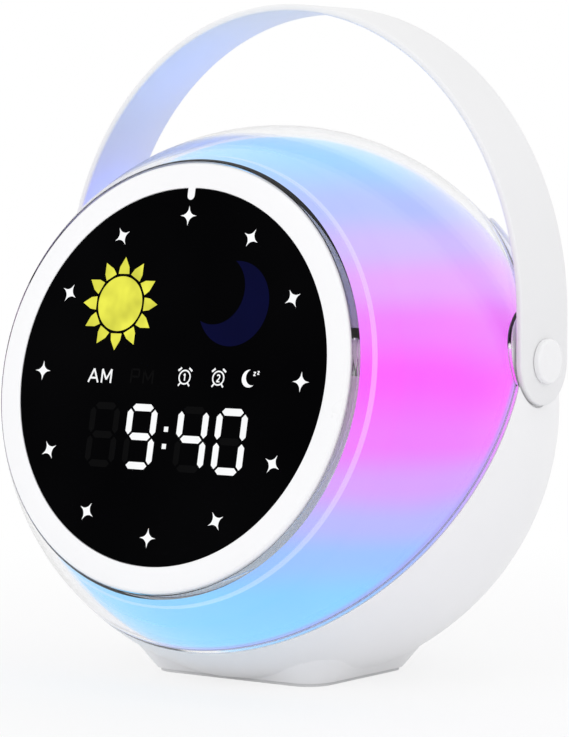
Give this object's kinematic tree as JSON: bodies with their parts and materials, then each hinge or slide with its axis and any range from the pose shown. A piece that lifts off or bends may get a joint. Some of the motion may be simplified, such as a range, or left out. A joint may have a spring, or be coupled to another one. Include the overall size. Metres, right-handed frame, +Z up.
{
  "type": "alarm clock",
  "caption": "Ball-shaped bedside alarm clock with a tilted round dial, a lit dome around it, a row of buttons and a folding carry handle.",
  "frame": {"origin": "centre of the foot's underside, below the ball's centre, on the surface it rests on", "axes": "+Z up, the dial faces -Y and leans back, +X to the right as seen from the front"},
  "size_m": [0.1294, 0.1129, 0.1495],
  "materials": {
    "white_plastic": "satin",
    "handle_plastic": "satin",
    "clear_plastic": "clear, polished",
    "milky_plastic": "translucent, frosted",
    "window_plastic": "dark tint, polished",
    "print_film": "printed film",
    "inner_white": "moulded",
    "board": "solder mask",
    "lamps": "moulded lens",
    "chips": "moulded",
    "screws": "zinc plated",
    "cell": "shrink wrapped",
    "speaker_metal": "stamped",
    "speaker_paper": "pressed paper",
    "magnet": "ground",
    "port_metal": "plated",
    "button_plastic": "satin",
    "soft_rubber": "matt"
  },
  "bodies": {
    "clock": {"rear_shell": "white_plastic", "bezel_ring": "white_plastic", "pivot_cap_left": "white_plastic", "pivot_cap_right": "white_plastic", "clear_shell": "clear_plastic", "diffuser": "milky_plastic", "display_window": "window_plastic", "dial_film": "print_film", "light_block": "inner_white", "chassis": "inner_white", "battery_holder": "inner_white", "button_saddle": "inner_white", "speaker_clamp": "inner_white", "display_board": "board", "light_ring_board": "board", "control_board": "board", "charge_board": "board", "display_lamps": "lamps", "colour_lamps": "lamps", "control_chips": "chips", "tact_switches": "chips", "dial_screws": "screws", "chassis_screws": "screws", "control_screws": "screws", "holder_screws": "screws", "speaker_screws": "screws", "charge_screws": "screws", "pivot_screws": "screws", "pivot_washers": "screws", "battery_cell": "cell", "speaker_basket": "speaker_metal", "speaker_cone": "speaker_paper", "speaker_magnet": "magnet", "charge_socket": "port_metal", "foot_mat": "soft_rubber", "button_flex": "soft_rubber"},
    "handle": {"handle": "handle_plastic"},
    "button_1": {"button_1": "button_plastic"},
    "button_2": {"button_2": "button_plastic"},
    "button_3": {"button_3": "button_plastic"},
    "button_4": {"button_4": "button_plastic"},
    "button_5": {"button_5": "button_plastic"}
  },
  "joints": [
    {"name": "handle_turn", "type": "hinge", "parent": "clock", "child": "handle", "pos_m": [0, 0.0103, 0.0712], "axis": [-1, 0, 0], "range_deg": [0, 90]},
    {"name": "button_1_press", "type": "slide", "parent": "clock", "child": "button_1", "axis": [0.6188, -0.4993, -0.6064], "range_m": [0, 0.0005], "stiffness_N_per_m": 600},
    {"name": "button_2_press", "type": "slide", "parent": "clock", "child": "button_2", "axis": [0.3277, -0.5832, -0.7433], "range_m": [0, 0.0005], "stiffness_N_per_m": 600},
    {"name": "button_3_press", "type": "slide", "parent": "clock", "child": "button_3", "axis": [0, -0.6122, -0.7907], "range_m": [0, 0.0005], "stiffness_N_per_m": 600},
    {"name": "button_4_press", "type": "slide", "parent": "clock", "child": "button_4", "axis": [-0.3277, -0.5832, -0.7433], "range_m": [0, 0.0005], "stiffness_N_per_m": 600},
    {"name": "button_5_press", "type": "slide", "parent": "clock", "child": "button_5", "axis": [-0.6188, -0.4993, -0.6064], "range_m": [0, 0.0005], "stiffness_N_per_m": 600}
  ]
}
